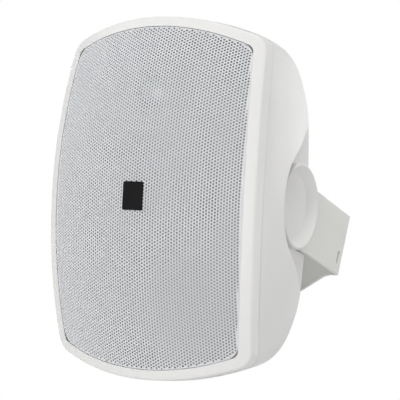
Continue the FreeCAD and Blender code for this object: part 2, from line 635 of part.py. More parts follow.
def surround_ring(inner_lip, outer_lip, roll_inner, roll_outer, seat):
    """Half-roll rubber ring: flat lips inside and outside, one raised roll between them."""
    middle = (roll_inner + roll_outer) / 2
    radius = (roll_outer - roll_inner) / 2
    front = seat - SURROUND_SHEET

    def at(r, y):
        return V(r, y, WOOFER_Z)

    edges = [Part.LineSegment(at(inner_lip, front), at(roll_inner, front)).toShape(),
             Part.Arc(at(roll_inner, front), at(middle, front - radius), at(roll_outer, front)).toShape(),
             Part.LineSegment(at(roll_outer, front), at(outer_lip, front)).toShape(),
             Part.LineSegment(at(outer_lip, front), at(outer_lip, seat)).toShape(),
             Part.LineSegment(at(outer_lip, seat), at(roll_outer - SURROUND_SHEET, seat)).toShape(),
             Part.Arc(at(roll_outer - SURROUND_SHEET, seat), at(middle, seat - radius),
                      at(roll_inner + SURROUND_SHEET, seat)).toShape(),
             Part.LineSegment(at(roll_inner + SURROUND_SHEET, seat), at(inner_lip, seat)).toShape(),
             Part.LineSegment(at(inner_lip, seat), at(inner_lip, front)).toShape()]
    return Part.Face(Part.Wire(edges)).revolve(V(0, 0, WOOFER_Z), BACK, 360)


def spider_ring(inner, outer, back):
    """Corrugated cloth ring that centres the coil."""
    pitch = (outer - inner) / (2 * SPIDER_WAVES + 1)
    front_side = []
    for i in range(2 * SPIDER_WAVES + 2):
        lift = SPIDER_SHEET if i % 2 and i < 2 * SPIDER_WAVES + 1 else 0.0
        front_side.append((inner + i * pitch, back - SPIDER_SHEET - lift))
    back_side = [(r, y + SPIDER_SHEET) for r, y in reversed(front_side)]
    return turned(front_side + back_side, WOOFER_Z)


def spherical_cap(radius, rise, sheet, edge_y, z):
    """Thin dome that bulges to the front from its edge."""
    outer = (radius ** 2 + rise ** 2) / (2 * rise)
    centre_y = edge_y - rise + outer
    ball = Part.makeSphere(outer, V(0, centre_y, z)).cut(Part.makeSphere(outer - sheet, V(0, centre_y, z)))
    return ball.common(rod(radius, edge_y - rise - sheet, edge_y, 0, z))


def screw_from_back(x, z, seat_y, radius, head_radius, head, length):
    """Pan-head screw driven forwards from a seat that faces the back."""
    one = screw(x, z, 0, radius, head_radius, head, length)
    one.rotate(V(x, 0, z), ACROSS, 180)
    one.translate(BACK * seat_y)
    return one


def tweeter_parts():
    """Dome driver screwed to the back of the panel, so that its dome stands in the flared mouth."""
    seat = TWEETER_SEAT_Y
    back = seat + TWEETER_FACE
    neck = TWEETER_DOME_RADIUS + TWEETER_DOME_SHEET
    face = turned([(neck, seat), (TWEETER_RADIUS, seat), (TWEETER_RADIUS, back), (neck, back)], TWEETER_Z)
    face = face.cut([rod(SCREW_RADIUS + SCREW_CLEARANCE, 0, PIVOT_Y, x, z) for x, z in TWEETER_SCREWS])
    dome_cap = spherical_cap(TWEETER_DOME_RADIUS, TWEETER_DOME_RISE, TWEETER_DOME_SHEET, back, TWEETER_Z)
    motor_back = back + TWEETER_MOTOR_DEPTH
    motor = turned([(0, back), (TWEETER_MOTOR_RADIUS, back), (TWEETER_MOTOR_RADIUS, motor_back),
                    (0, motor_back)], TWEETER_Z, [0, 0, MOTOR_EDGE_ROUND, 0])
    screws = Part.Compound([screw_from_back(x, z, back, SCREW_RADIUS, SCREW_HEAD_RADIUS, SCREW_HEAD,
                                            TWEETER_SCREW_LENGTH) for x, z in TWEETER_SCREWS])
    return {
        "tweeter_faceplate": face,
        "tweeter_dome": dome_cap,
        "tweeter_magnet": motor,
        "tweeter_screws": screws,
    }


def baffle_screws():
    return Part.Compound([screw(x, z, baffle_seat_y(x, z), BAFFLE_SCREW_RADIUS, BAFFLE_SCREW_HEAD_RADIUS,
                                BAFFLE_SCREW_HEAD, BAFFLE_SCREW_LENGTH) for x, z in BAFFLE_SCREWS])


def terminal_screw_places():
    x = (TERMINAL_FLANGE_WIDTH + TERMINAL_CUP_WIDTH) / 4
    z = (TERMINAL_FLANGE_HEIGHT + TERMINAL_CUP_HEIGHT) / 4
    return [(sx * x, TERMINAL_Z + sz * z) for sx in (-1, 1) for sz in (-1, 1)]


def terminal_parts():
    """Recessed cup in the rear wall with two binding posts."""
    rear = CABINET_REAR_Y
    floor_y = rear - TERMINAL_CUP_DEPTH
    flange = rounded_box(TERMINAL_FLANGE_WIDTH, TERMINAL_FLANGE_HEIGHT, TERMINAL_CORNER_RADIUS, rear,
                         rear + TERMINAL_FLANGE, 0, TERMINAL_Z)
    cup = rounded_box(TERMINAL_CUP_WIDTH, TERMINAL_CUP_HEIGHT, TERMINAL_CORNER_RADIUS,
                      floor_y - TERMINAL_WALL, rear, 0, TERMINAL_Z)
    hollow = rounded_box(TERMINAL_CUP_WIDTH - 2 * TERMINAL_WALL, TERMINAL_CUP_HEIGHT - 2 * TERMINAL_WALL,
                         TERMINAL_CORNER_RADIUS - TERMINAL_WALL, floor_y, rear + TERMINAL_FLANGE,
                         0, TERMINAL_Z)
    places = (-POST_SPACING / 2, POST_SPACING / 2)
    cuts = [hollow]
    for x in places:
        cuts.append(rod(POST_RADIUS + SEAT_CLEARANCE, floor_y - TERMINAL_WALL, floor_y, x, TERMINAL_Z))
    screws = []
    for x, z in terminal_screw_places():
        cuts.append(rod(SCREW_RADIUS + SCREW_CLEARANCE, rear - CABINET_WALL, rear + TERMINAL_FLANGE, x, z))
        screws.append(screw_from_back(x, z, rear + TERMINAL_FLANGE, SCREW_RADIUS, SCREW_HEAD_RADIUS,
                                      SCREW_HEAD, SCREW_LENGTH))
    posts = []
    nuts = []
    for x in places:
        tip = floor_y + POST_LENGTH
        collar = floor_y + POST_COLLAR
        inner_end = floor_y - TERMINAL_WALL - POST_INNER_LENGTH
        posts.append(turned([(0, inner_end), (POST_RADIUS, inner_end), (POST_RADIUS, floor_y),
                             (POST_COLLAR_RADIUS, floor_y), (POST_COLLAR_RADIUS, collar),
                             (POST_RADIUS, collar), (POST_RADIUS, tip), (0, tip)], TERMINAL_Z, None, x))
        nut_from = collar + NUT_LIFT
        bore = POST_RADIUS + RUNNING_CLEARANCE
        nut = turned([(bore, nut_from), (NUT_RADIUS, nut_from), (NUT_RADIUS, nut_from + NUT_LENGTH),
                      (bore, nut_from + NUT_LENGTH)], TERMINAL_Z, [0, NUT_EDGE_ROUND, NUT_EDGE_ROUND, 0], x)
        flutes = [rod(NUT_FLUTE_RADIUS, nut_from, nut_from + NUT_LENGTH, x + fx, fz)
                  for fx, fz in on_circle(NUT_RADIUS + NUT_FLUTE_RADIUS / 2, NUT_FLUTE_COUNT, TERMINAL_Z, 0)]
        nuts.append(nut.cut(flutes))
    return {
        "terminal_cup": flange.fuse(cup).cut(cuts).removeSplitter(),
        "terminal_posts": Part.Compound(posts),
        "terminal_nut_red": nuts[0],
        "terminal_nut_black": nuts[1],
        "terminal_screws": Part.Compound(screws),
    }


def board_post_places():
    x = BOARD_WIDTH / 2 - BOARD_POST_INSET
    z = BOARD_HEIGHT / 2 - BOARD_POST_INSET
    return [(sx * x, BOARD_Z + sz * z) for sx in (-1, 1) for sz in (-1, 1)]


def crossover_parts():
    """Filter board with a coil, two capacitors and a resistor on its front."""
    board_back = CABINET_REAR_Y - CABINET_WALL - BOARD_STANDOFF
    face = board_back - BOARD_THICKNESS
    board = rounded_box(BOARD_WIDTH, BOARD_HEIGHT, BOARD_CORNER_RADIUS, face, board_back, 0, BOARD_Z)
    coil_x = -BOARD_WIDTH / 4
    wind = INDUCTOR_RADIUS - INDUCTOR_WIND_INSET
    coil_end = face - INDUCTOR_HEIGHT
    coil = turned([(INDUCTOR_CORE_RADIUS, face), (INDUCTOR_RADIUS, face),
                   (INDUCTOR_RADIUS, face - INDUCTOR_FLANGE), (wind, face - INDUCTOR_FLANGE),
                   (wind, coil_end + INDUCTOR_FLANGE), (INDUCTOR_RADIUS, coil_end + INDUCTOR_FLANGE),
                   (INDUCTOR_RADIUS, coil_end), (INDUCTOR_CORE_RADIUS, coil_end)], BOARD_Z, None, coil_x)
    cap_x = BOARD_WIDTH / 4
    cap_start = V(cap_x - CAPACITOR_LENGTH / 2, face - CAPACITOR_RADIUS, BOARD_Z)
    caps = [Part.makeCylinder(CAPACITOR_RADIUS, CAPACITOR_LENGTH, cap_start + V(0, 0, lift), ACROSS)
            for lift in (0.0, PART_SPACING)]
    resistor = Part.makeBox(RESISTOR_LENGTH, RESISTOR_SIDE, RESISTOR_SIDE,
                            V(cap_x - RESISTOR_LENGTH / 2, face - RESISTOR_SIDE,
                              BOARD_Z - PART_SPACING - RESISTOR_SIDE / 2))
    return {
        "crossover_board": board,
        "crossover_inductor": coil,
        "crossover_capacitors": Part.Compound(caps),
        "crossover_resistor": resistor,
    }


def bracket_point(x, along, up):
    """A place on the bracket: across, forward from the wall face, and up the wall plate."""
    return WALL_POINT + ACROSS * x - WALL_NORMAL * along + WALL_UP * up


def wall_bracket():
    """U-shaped sheet: two arms with round ends and a wall plate that is taller in the middle."""
    arm_line = V(0, math.cos(ARM_DROP), -math.sin(ARM_DROP))
    arm_up = V(0, math.sin(ARM_DROP), math.cos(ARM_DROP))
    half = ARM_HEIGHT / 2
    lean = math.tan(PLATE_TILT - ARM_DROP)
    side = V(-ARM_OUTER_X, 0, 0)
    low_front = PIVOT - arm_up * half + side
    high_front = PIVOT + arm_up * half + side
    nose = PIVOT - arm_line * half + side
    high_rear = PIVOT + arm_line * (ARM_REACH + half * lean) + arm_up * half + side
    low_rear = PIVOT + arm_line * (ARM_REACH - half * lean) - arm_up * half + side
    edges = [Part.Arc(low_front, nose, high_front).toShape(),
             Part.LineSegment(high_front, high_rear).toShape(),
             Part.LineSegment(high_rear, low_rear).toShape(),
             Part.LineSegment(low_rear, low_front).toShape()]
    side_view = Part.Face(Part.Wire(edges)).extrude(ACROSS * 2 * ARM_OUTER_X)
    reach = ARM_REACH + ARM_HEIGHT
    low = -ARM_HEIGHT
    inner_bend = SHEET_BEND_RADIUS - SHEET
    u_points = [bracket_point(x, along, low) for x, along in
                ((-ARM_OUTER_X, reach), (-ARM_OUTER_X, 0), (ARM_OUTER_X, 0), (ARM_OUTER_X, reach),
                 (ARM_INNER_X, reach), (ARM_INNER_X, SHEET), (-ARM_INNER_X, SHEET), (-ARM_INNER_X, reach))]
    bends = [0, SHEET_BEND_RADIUS, SHEET_BEND_RADIUS, 0, 0, inner_bend, inner_bend, 0]
    u_bend = Part.Face(rounded(u_points, bends)).extrude(WALL_UP * 2 * ARM_HEIGHT)
    plate_half = half / math.cos(PLATE_TILT - ARM_DROP)
    tall = plate_half + PLATE_RISE
    wide = ARM_OUTER_X - SHEET_BEND_RADIUS
    flat = ARM_OUTER_X - PLATE_SHOULDER
    middle = PLATE_MIDDLE_HALF_WIDTH
    right_side = [(wide, -plate_half), (flat, -plate_half), (middle, -tall)]
    low_side = right_side + [(-x, up) for x, up in reversed(right_side)]
    corners = low_side + [(x, -up) for x, up in reversed(low_side)]
    radii = [0 if abs(x) == wide else PLATE_FLARE_RADIUS for x, up in corners]
    plate_edge = rounded([bracket_point(x, 0, up) for x, up in corners], radii)
    plate = Part.Face(plate_edge).extrude(WALL_NORMAL * -SHEET)
    sheet = u_bend.common(side_view).fuse(plate)
    cuts = [rod_across(SPIGOT_RADIUS + RUNNING_CLEARANCE, -SPAN / 2, SPAN / 2)]
    for x, up in on_circle(WALL_HOLE_CIRCLE / 2, WALL_HOLE_COUNT, 0.0, WALL_FIRST_HOLE_DEG):
        behind = bracket_point(x, -SHEET, up)
        cuts.append(Part.makeCylinder(WALL_HOLE_RADIUS, SHEET * 3, behind, WALL_NORMAL * -1))
    slot_mid = bracket_point(-SPAN / 2, TIE_SLOT_FROM_REAR, -TIE_SLOT_BELOW_MIDDLE)
    long_half = WALL_UP * (TIE_SLOT_LENGTH / 2)
    wide_half = WALL_NORMAL * (TIE_SLOT_WIDTH / 2)
    slot_points = [slot_mid - long_half - wide_half, slot_mid - long_half + wide_half,
                   slot_mid + long_half + wide_half, slot_mid + long_half - wide_half]
    ends = [TIE_SLOT_END_RADIUS] * len(slot_points)
    cuts.append(Part.Face(rounded(slot_points, ends)).extrude(ACROSS * SPAN))
    return sheet.cut(cuts).removeSplitter()


def pivot_parts():
    """Right-hand pivot: insert, friction washer, cup-shaped knob and its bolt."""
    inner = POCKET_FLOOR_X - CABINET_WALL - PIVOT_BOSS_LENGTH
    spigot_end = ARM_OUTER_X - SEAT_CLEARANCE
    thread = BOLT_RADIUS + RUNNING_CLEARANCE
    flange = inner - INSERT_FLANGE
    insert = turned_across([(thread, flange), (INSERT_FLANGE_RADIUS, flange), (INSERT_FLANGE_RADIUS, inner),
                            (INSERT_RADIUS, inner), (INSERT_RADIUS, POCKET_FLOOR_X),
                            (SPIGOT_RADIUS, POCKET_FLOOR_X), (SPIGOT_RADIUS, spigot_end),
                            (thread, spigot_end)])
    washer_bore = SPIGOT_RADIUS + RUNNING_CLEARANCE
    washer_face = ARM_INNER_X - SEAT_CLEARANCE
    washer = turned_across([(washer_bore, POCKET_FLOOR_X), (WASHER_RADIUS, POCKET_FLOOR_X),
                            (WASHER_RADIUS, washer_face), (washer_bore, washer_face)])
    knob_face = ARM_OUTER_X + SEAT_CLEARANCE
    floor = knob_face + KNOB_FLOOR
    lip = knob_face + KNOB_HEIGHT
    head_room = BOLT_HEAD_RADIUS + SEAT_CLEARANCE
    knob = turned_across([(0, knob_face + BOLT_HEAD), (head_room, knob_face + BOLT_HEAD),
                          (head_room, knob_face), (KNOB_RADIUS, knob_face), (KNOB_RADIUS, lip),
                          (KNOB_RADIUS - KNOB_LIP, lip), (KNOB_RADIUS - 2 * KNOB_LIP, floor), (0, floor)],
                         [0, 0, 0, KNOB_LIP, KNOB_LIP_ROUND, KNOB_LIP_ROUND, KNOB_HOLLOW_RADIUS, 0])
    bolt = turned_across([(0, knob_face - BOLT_LENGTH), (BOLT_RADIUS, knob_face - BOLT_LENGTH),
                          (BOLT_RADIUS, knob_face), (BOLT_HEAD_RADIUS, knob_face),
                          (BOLT_HEAD_RADIUS, knob_face + BOLT_HEAD), (0, knob_face + BOLT_HEAD)],
                         [0, BOLT_TIP_ROUND, 0, 0, 0, 0])
    return {"pivot_insert": insert, "friction_washer": washer, "clamp_knob": knob, "clamp_bolt": bolt}


def all_parts():
    nodes = {
        "front_baffle": front_baffle(),
        "rear_cabinet": rear_cabinet(),
        "cabinet_gasket": cabinet_gasket(),
        "grille": grille(),
        "badge": badge(),
        "baffle_screws": baffle_screws(),
        "wall_bracket": wall_bracket(),
    }
    nodes.update(woofer_parts())
    nodes.update(tweeter_parts())
    nodes.update(terminal_parts())
    nodes.update(crossover_parts())
    for name, shape in pivot_parts().items():
        nodes[name + "_right"] = shape
        nodes[name + "_left"] = mirrored(shape)
    return nodes


os.makedirs("parts", exist_ok=True)
for name, shape in all_parts().items():
    shape.translate(WALL_POINT * -1)
    shape.exportStep("parts/" + name + ".step")
    print(name, "solids", len(shape.Solids), "valid", shape.isValid(), "volume", round(shape.Volume, 1))
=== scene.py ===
import bpy
import math
import numpy as np
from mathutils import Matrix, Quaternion, Vector
from mathutils.geometry import delaunay_2d_cdt


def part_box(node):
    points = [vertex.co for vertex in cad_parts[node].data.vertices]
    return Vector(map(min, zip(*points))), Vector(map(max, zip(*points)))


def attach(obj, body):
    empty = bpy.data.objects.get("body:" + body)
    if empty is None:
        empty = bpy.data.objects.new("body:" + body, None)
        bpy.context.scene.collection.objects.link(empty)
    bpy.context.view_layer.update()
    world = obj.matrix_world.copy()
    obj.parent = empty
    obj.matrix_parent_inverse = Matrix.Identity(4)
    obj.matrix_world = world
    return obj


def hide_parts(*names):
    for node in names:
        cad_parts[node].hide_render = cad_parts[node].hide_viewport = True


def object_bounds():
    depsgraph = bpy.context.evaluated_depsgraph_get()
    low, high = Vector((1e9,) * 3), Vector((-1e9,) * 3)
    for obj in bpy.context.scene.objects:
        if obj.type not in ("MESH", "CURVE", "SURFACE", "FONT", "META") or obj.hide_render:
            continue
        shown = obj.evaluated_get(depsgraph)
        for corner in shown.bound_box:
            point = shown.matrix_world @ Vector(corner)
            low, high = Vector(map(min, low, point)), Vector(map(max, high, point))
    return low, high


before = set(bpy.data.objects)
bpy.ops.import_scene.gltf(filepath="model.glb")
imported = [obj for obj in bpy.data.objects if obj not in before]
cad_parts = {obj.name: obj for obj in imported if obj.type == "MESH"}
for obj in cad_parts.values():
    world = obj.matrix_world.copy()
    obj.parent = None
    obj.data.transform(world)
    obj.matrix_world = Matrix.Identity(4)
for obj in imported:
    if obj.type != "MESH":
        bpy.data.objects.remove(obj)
cad_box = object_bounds()


# Rear cabinet: the hollow housing behind the front, with a keyhole pocket in each side for the bracket.
# White ABS, injection moulded in one piece; the mould was spark eroded, so the skin is satin and very
# slightly grained. Eight screws from the front hold it to the baffle.
MM = 0.001


def linear(hex_colour):
    """Linear RGBA of an sRGB hex colour."""
    channels = [int(hex_colour[i:i + 2], 16) / 255 for i in (1, 3, 5)]
    return tuple(c / 12.92 if c <= 0.04045 else ((c + 0.055) / 1.055) ** 2.4 for c in channels) + (1.0,)


def node(tree, kind, inputs=None, **settings):
    """Adds one node, sets its properties, and gives its inputs values or links."""
    made = tree.nodes.new(kind)
    for name, value in settings.items():
        setattr(made, name, value)
    for name, value in (inputs or {}).items():
        if isinstance(value, bpy.types.NodeSocket):
            tree.links.new(value, made.inputs[name])
        else:
            made.inputs[name].default_value = value
    return made


def mixed(tree, factor, first, second):
    """The colour between two colours or links."""
    mix = node(tree, "ShaderNodeMix", {"Factor": factor, "A": first, "B": second}, data_type="RGBA")
    return next(output for output in mix.outputs if output.type == "RGBA")


def new_finish(name, **sockets):
    """A material with one principled shader; sockets that are the same all over are set on it."""
    material = bpy.data.materials.new(name)
    material.use_nodes = True
    tree = material.node_tree
    tree.nodes.clear()
    shader = node(tree, "ShaderNodeBsdfPrincipled", {k.replace("_", " "): v for k, v in sockets.items()})
    node(tree, "ShaderNodeOutputMaterial", {"Surface": shader.outputs["BSDF"]})
    return material, tree, shader


def skin(tree, shader, colours, patch_mm, roughness, grain_mm, relief_mm, edge_mm=0.0):
    """Uneven colour in soft patches, roughness that follows them, and a fine grain in relief."""
    place = node(tree, "ShaderNodeTexCoord").outputs["Object"]
    patches = node(tree, "ShaderNodeTexNoise", {"Vector": place, "Scale": 1 / (patch_mm * MM), "Detail": 3.0})
    tone = mixed(tree, patches.outputs["Fac"], linear(colours[0]), linear(colours[1]))
    gloss = node(tree, "ShaderNodeMapRange",
                 {"Value": patches.outputs["Fac"], "From Min": 0.3, "From Max": 0.7,
                  "To Min": roughness[0], "To Max": roughness[1]})
    grain = node(tree, "ShaderNodeTexNoise", {"Vector": place, "Scale": 1 / (grain_mm * MM), "Detail": 2.0})
    bump = node(tree, "ShaderNodeBump",
                {"Height": grain.outputs["Fac"], "Strength": 1.0, "Distance": relief_mm * MM})
    if edge_mm:
        soft = node(tree, "ShaderNodeBevel", {"Radius": edge_mm * MM}, samples=6)
        tree.links.new(soft.outputs["Normal"], bump.inputs["Normal"])
    tree.links.new(tone, shader.inputs["Base Color"])
    tree.links.new(gloss.outputs["Result"], shader.inputs["Roughness"])
    tree.links.new(bump.outputs["Normal"], shader.inputs["Normal"])
    return place, bump.outputs["Normal"]


def dress(material, *names):
    """Gives CAD nodes their finish."""
    for name in names:
        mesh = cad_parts[name].data
        mesh.materials.clear()
        mesh.materials.append(material)


# Satin white: soft highlights, no clear reflections. The real grain is about 0.2 mm, too fine to show at
# this size, so it is drawn at 0.9 mm, and on the other pieces at 0.7 mm or more.
abs_white, tree, shader = new_finish("abs_moulded_white", IOR=1.53, Specular_IOR_Level=0.42)
skin(tree, shader, colours=("#EDECEA", "#E7E7E5"), patch_mm=60, roughness=(0.44, 0.52), grain_mm=0.9,
     relief_mm=0.012, edge_mm=1.2)
dress(abs_white, "rear_cabinet")


# Front baffle: the domed bezel, its side band and the panel that carries both drivers, in one moulding.
# The same white ABS as the cabinet, from a mould polished a little finer, so its rim shines more. The well
# behind the grille is coloured dull grey as painted shade, standing in for the shade that falls there.
ACROSS_RADIUS, UPRIGHT_RADIUS = 190.0, 420.0
HALF_WIDTH, HALF_HEIGHT = 88.1, 140.0
SIDE_RADIUS, END_RADIUS, CORNER_RADIUS = 1281.0, 210.0, 7.0
BADGE_PROUD = 0.5
WELL_DEPTH, WELL_SPARE = 3.2, 1.0
badge_low, badge_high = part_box("badge")
front_middle = Vector((0, badge_low.y + BADGE_PROUD * MM, (badge_low.z + badge_high.z) / 2))


def calc(tree, operation, *values, **settings):
    """The result of one math node over values or links."""
    return node(tree, "ShaderNodeMath", dict(enumerate(values)), operation=operation, **settings).outputs[0]


# Satin white with a slightly clearer shine on the rim; dull grey as painted shade in the well, where a place
# is deeper than the sheet below the dome and lies inside the grille's opening.
abs_rim, tree, shader = new_finish("abs_rim_white", IOR=1.53, Specular_IOR_Level=0.45)
place, _ = skin(tree, shader, colours=("#EFEEEC", "#E9E9E7"), patch_mm=60, roughness=(0.36, 0.44),
                grain_mm=0.9, relief_mm=0.008, edge_mm=0.8)
white = shader.inputs["Base Color"].links[0].from_socket
parts = node(tree, "ShaderNodeSeparateXYZ", {"Vector": place})
rise = calc(tree, "ABSOLUTE", calc(tree, "SUBTRACT", parts.outputs["Z"], front_middle.z))
across_squared = calc(tree, "POWER", parts.outputs["X"], 2.0)
rise_squared = calc(tree, "POWER", rise, 2.0)
sag = calc(tree, "MULTIPLY_ADD", across_squared, 0.5 / (ACROSS_RADIUS * MM), front_middle.y)
sag = calc(tree, "MULTIPLY_ADD", rise_squared, 0.5 / (UPRIGHT_RADIUS * MM), sag)
behind = calc(tree, "GREATER_THAN", calc(tree, "SUBTRACT", parts.outputs["Y"], sag), WELL_DEPTH * MM)
in_width = calc(tree, "LESS_THAN", across_squared, ((HALF_WIDTH + WELL_SPARE) * MM) ** 2)
reach = calc(tree, "MULTIPLY_ADD", across_squared, 0.5 / (END_RADIUS * MM), rise)
in_height = calc(tree, "LESS_THAN", reach, (HALF_HEIGHT + WELL_SPARE) * MM)
painted_shade_well = calc(tree, "MULTIPLY", calc(tree, "MULTIPLY", behind, in_width), in_height)
# The grey here is painted shade for the dim well behind the grille, not a paint of its own.
tree.links.new(mixed(tree, painted_shade_well, white, linear("#B2B2B0")), shader.inputs["Base Color"])
dress(abs_rim, "front_baffle", "tweeter_faceplate")


# Seal in the parting line: a thin ring of EPDM rubber squeezed between baffle and cabinet. The washers
# between cabinet and bracket arms are cut from the same sheet. Matt, mid grey, slightly dusty.
epdm, tree, shader = new_finish("epdm_rubber_grey", IOR=1.52, Specular_IOR_Level=0.3)
skin(tree, shader, colours=("#8E8D8A", "#7F7E7C"), patch_mm=8, roughness=(0.72, 0.84), grain_mm=0.7,
     relief_mm=0.03)
dress(epdm, "cabinet_gasket", "friction_washer_right", "friction_washer_left")


# Woofer frame: pressed steel with four windows, pale grey paint like the screws that hold its flange to
# the panel. The paint is thin, even and slightly glossy; its grey is drawn a shade darker than the real
# pale tone, as painted shade for the dim well behind the grille.
grey_paint_and_shade, tree, shader = new_finish("steel_grey_paint_and_shade", IOR=1.5, Specular_IOR_Level=0.5)
skin(tree, shader, colours=("#BCBCBA", "#B4B4B2"), patch_mm=20, roughness=(0.38, 0.5), grain_mm=0.8,
     relief_mm=0.01)
dress(grey_paint_and_shade, "woofer_basket", "woofer_screws", "tweeter_screws", "baffle_screws")


# Woofer surround: a half roll of butyl rubber, glued to cone and frame. Satin pale grey, drawn a shade darker
# as painted shade for the dim well behind the grille, with a bloom that whitens it in patches.
butyl, tree, shader = new_finish("butyl_rubber_pale", IOR=1.52, Specular_IOR_Level=0.4)
skin(tree, shader, colours=("#B4B4B2", "#BABAB8"), patch_mm=12, roughness=(0.5, 0.66), grain_mm=0.8,
     relief_mm=0.02)
dress(butyl, "woofer_surround")


# Woofer cone and dust cap: moulded polypropylene filled with mica, glued to surround and coil. Pale grey,
# drawn a shade darker as painted shade for the dim well behind the grille, and smooth, with flakes that
# catch the light a little; they are drawn at 1.4 mm, coarser than real mica.
FLAKE_MM = 1.4
cone_plastic, tree, shader = new_finish("polypropylene_mica", IOR=1.49, Specular_IOR_Level=0.5)
place, _ = skin(tree, shader, colours=("#C0C0BE", "#C4C4C2"), patch_mm=6, roughness=(0.26, 0.34),
                grain_mm=0.8, relief_mm=0.006)
flakes = node(tree, "ShaderNodeTexVoronoi", {"Vector": place, "Scale": 1 / (FLAKE_MM * MM)})
sparkle = node(tree, "ShaderNodeMapRange",
               {"Value": flakes.outputs["Distance"], "From Min": 0.0, "From Max": 0.5,
                "To Min": 0.22, "To Max": 0.36})
tree.links.new(sparkle.outputs["Result"], shader.inputs["Roughness"])
dress(cone_plastic, "woofer_cone", "woofer_dust_cap")


# Woofer spider: cotton cloth stiffened with resin and pressed into rings. Straw coloured, matt, with the
# weave of 0.6 mm threads in relief.
THREAD_MM, WEAVE_RELIEF_MM = 0.6, 0.06
cotton, tree, shader = new_finish("cotton_resin", IOR=1.5, Specular_IOR_Level=0.3, Sheen_Weight=0.2)
place, normal = skin(tree, shader, colours=("#B99A5C", "#A98B50"), patch_mm=5, roughness=(0.7, 0.82),
                     grain_mm=0.8, relief_mm=0.01)
parts = node(tree, "ShaderNodeSeparateXYZ", {"Vector": place})
warp, weft = (calc(tree, "SINE", calc(tree, "MULTIPLY", parts.outputs[axis], 2 * math.pi / (THREAD_MM * MM)))
              for axis in "XZ")
cloth = node(tree, "ShaderNodeBump",
             {"Height": calc(tree, "MULTIPLY", warp, weft), "Strength": 1.0,
              "Distance": WEAVE_RELIEF_MM * MM, "Normal": normal})
tree.links.new(cloth.outputs["Normal"], shader.inputs["Normal"])
dress(cotton, "woofer_spider")


# Voice coil and crossover inductor: enamelled copper wire wound in close layers. Reddish metal under a
# clear lacquer, ridged across the winding by wire of 0.8 mm.
WIRE_MM, WIRE_RELIEF_MM = 0.8, 0.1
copper, tree, shader = new_finish("copper_enamelled", Metallic=1.0, Coat_Weight=0.6, Coat_Roughness=0.15)
place, normal = skin(tree, shader, colours=("#B8683C", "#A65A32"), patch_mm=6, roughness=(0.26, 0.36),
                     grain_mm=0.8, relief_mm=0.004)
parts = node(tree, "ShaderNodeSeparateXYZ", {"Vector": place})
ridges = calc(tree, "SINE", calc(tree, "MULTIPLY", parts.outputs["Y"], 2 * math.pi / (WIRE_MM * MM)))
wound = node(tree, "ShaderNodeBump",
             {"Height": ridges, "Strength": 1.0, "Distance": WIRE_RELIEF_MM * MM, "Normal": normal})
tree.links.new(wound.outputs["Normal"], shader.inputs["Normal"])
dress(copper, "woofer_voice_coil", "crossover_inductor")


# Motor plates, yoke, clamp bolts and small screws: zinc-plated steel. Bluish grey, dull, with the cloudy
# tone that the plating bath leaves.
zinc, tree, shader = new_finish("steel_zinc_plated", Metallic=1.0)
skin(tree, shader, colours=("#B4B8BC", "#9FA4A9"), patch_mm=4, roughness=(0.32, 0.48), grain_mm=0.8,
     relief_mm=0.006)
dress(zinc, "woofer_top_plate", "woofer_yoke", "terminal_screws", "clamp_bolt_right", "clamp_bolt_left")


# Magnets: sintered ferrite, a ring in the woofer's motor and a disc behind the tweeter's dome, ground on
# their flat faces and glued. Charcoal grey, matt, with a slightly pitted skin.
ferrite, tree, shader = new_finish("ferrite_sintered", IOR=1.9, Specular_IOR_Level=0.5)
skin(tree, shader, colours=("#3A3A3D", "#2E2E31"), patch_mm=3, roughness=(0.6, 0.75), grain_mm=0.8,
     relief_mm=0.03)
dress(ferrite, "woofer_magnet", "tweeter_magnet")


# Badge, terminal cup and one terminal nut: black ABS, injection moulded with a fine satin grain. The badge
# is a bare plate on the grille; the cup is screwed to the cabinet's back. Nearly black, hardly any shine.
abs_black, tree, shader = new_finish("abs_moulded_black", IOR=1.53, Specular_IOR_Level=0.08)
skin(tree, shader, colours=("#101012", "#151517"), patch_mm=10, roughness=(0.4, 0.52), grain_mm=0.8,
     relief_mm=0.012)
dress(abs_black, "badge", "terminal_cup", "terminal_nut_black")


# Tweeter dome: thin aluminium, pressed and anodised clear, standing on its magnet in the faceplate's mouth.
# Silvery, with a soft bright streak where it faces the light.
aluminium, tree, shader = new_finish("aluminium_anodised", Metallic=1.0)
skin(tree, shader, colours=("#B4B5B7", "#ABACAF"), patch_mm=5, roughness=(0.3, 0.4), grain_mm=0.7,
     relief_mm=0.004)
dress(aluminium, "tweeter_dome")


# Grille: one sheet of steel, perforated in staggered columns, pressed to the dome of the front, its edge
# folded back to stand on the baffle's seat. White powder coat over everything, holes included. The real
# pitch is about 2.58 mm; it is coarsened to 2.68 mm to keep the mesh small.
SHEET_INSET, SHEET_THICKNESS = 0.7, 1.0
EDGE_DEPTH, EDGE_GAP, EDGE_ROUND = 3.9, 0.15, 0.5
HOLE_PITCH, HOLE_RADIUS, LAND = 2.68, 0.985, 0.15


def on_dome(across, upright, depth):
    """Places on the domed front for sheet measures along its two curves, at a depth below it."""
    ring = UPRIGHT_RADIUS - ACROSS_RADIUS + (ACROSS_RADIUS - depth) * np.cos(across / ACROSS_RADIUS)
    x = (ACROSS_RADIUS - depth) * np.sin(across / ACROSS_RADIUS)
    y = UPRIGHT_RADIUS - ring * np.cos(upright / UPRIGHT_RADIUS)
    return np.stack([x, y, ring * np.sin(upright / UPRIGHT_RADIUS)], -1)


def past_outline(points):
    """How far places lie outside the grille opening, seen from the front (negative inside)."""
    x, z = np.abs(points[..., 0]), np.abs(points[..., 2])
    side = np.hypot(x - HALF_WIDTH + SIDE_RADIUS, z) - SIDE_RADIUS + CORNER_RADIUS
    end = np.hypot(x, z - HALF_HEIGHT + END_RADIUS) - END_RADIUS + CORNER_RADIUS
    round_corner = np.hypot(np.maximum(side, 0), np.maximum(end, 0))
    return np.minimum(np.maximum(side, end), 0) + round_corner - CORNER_RADIUS


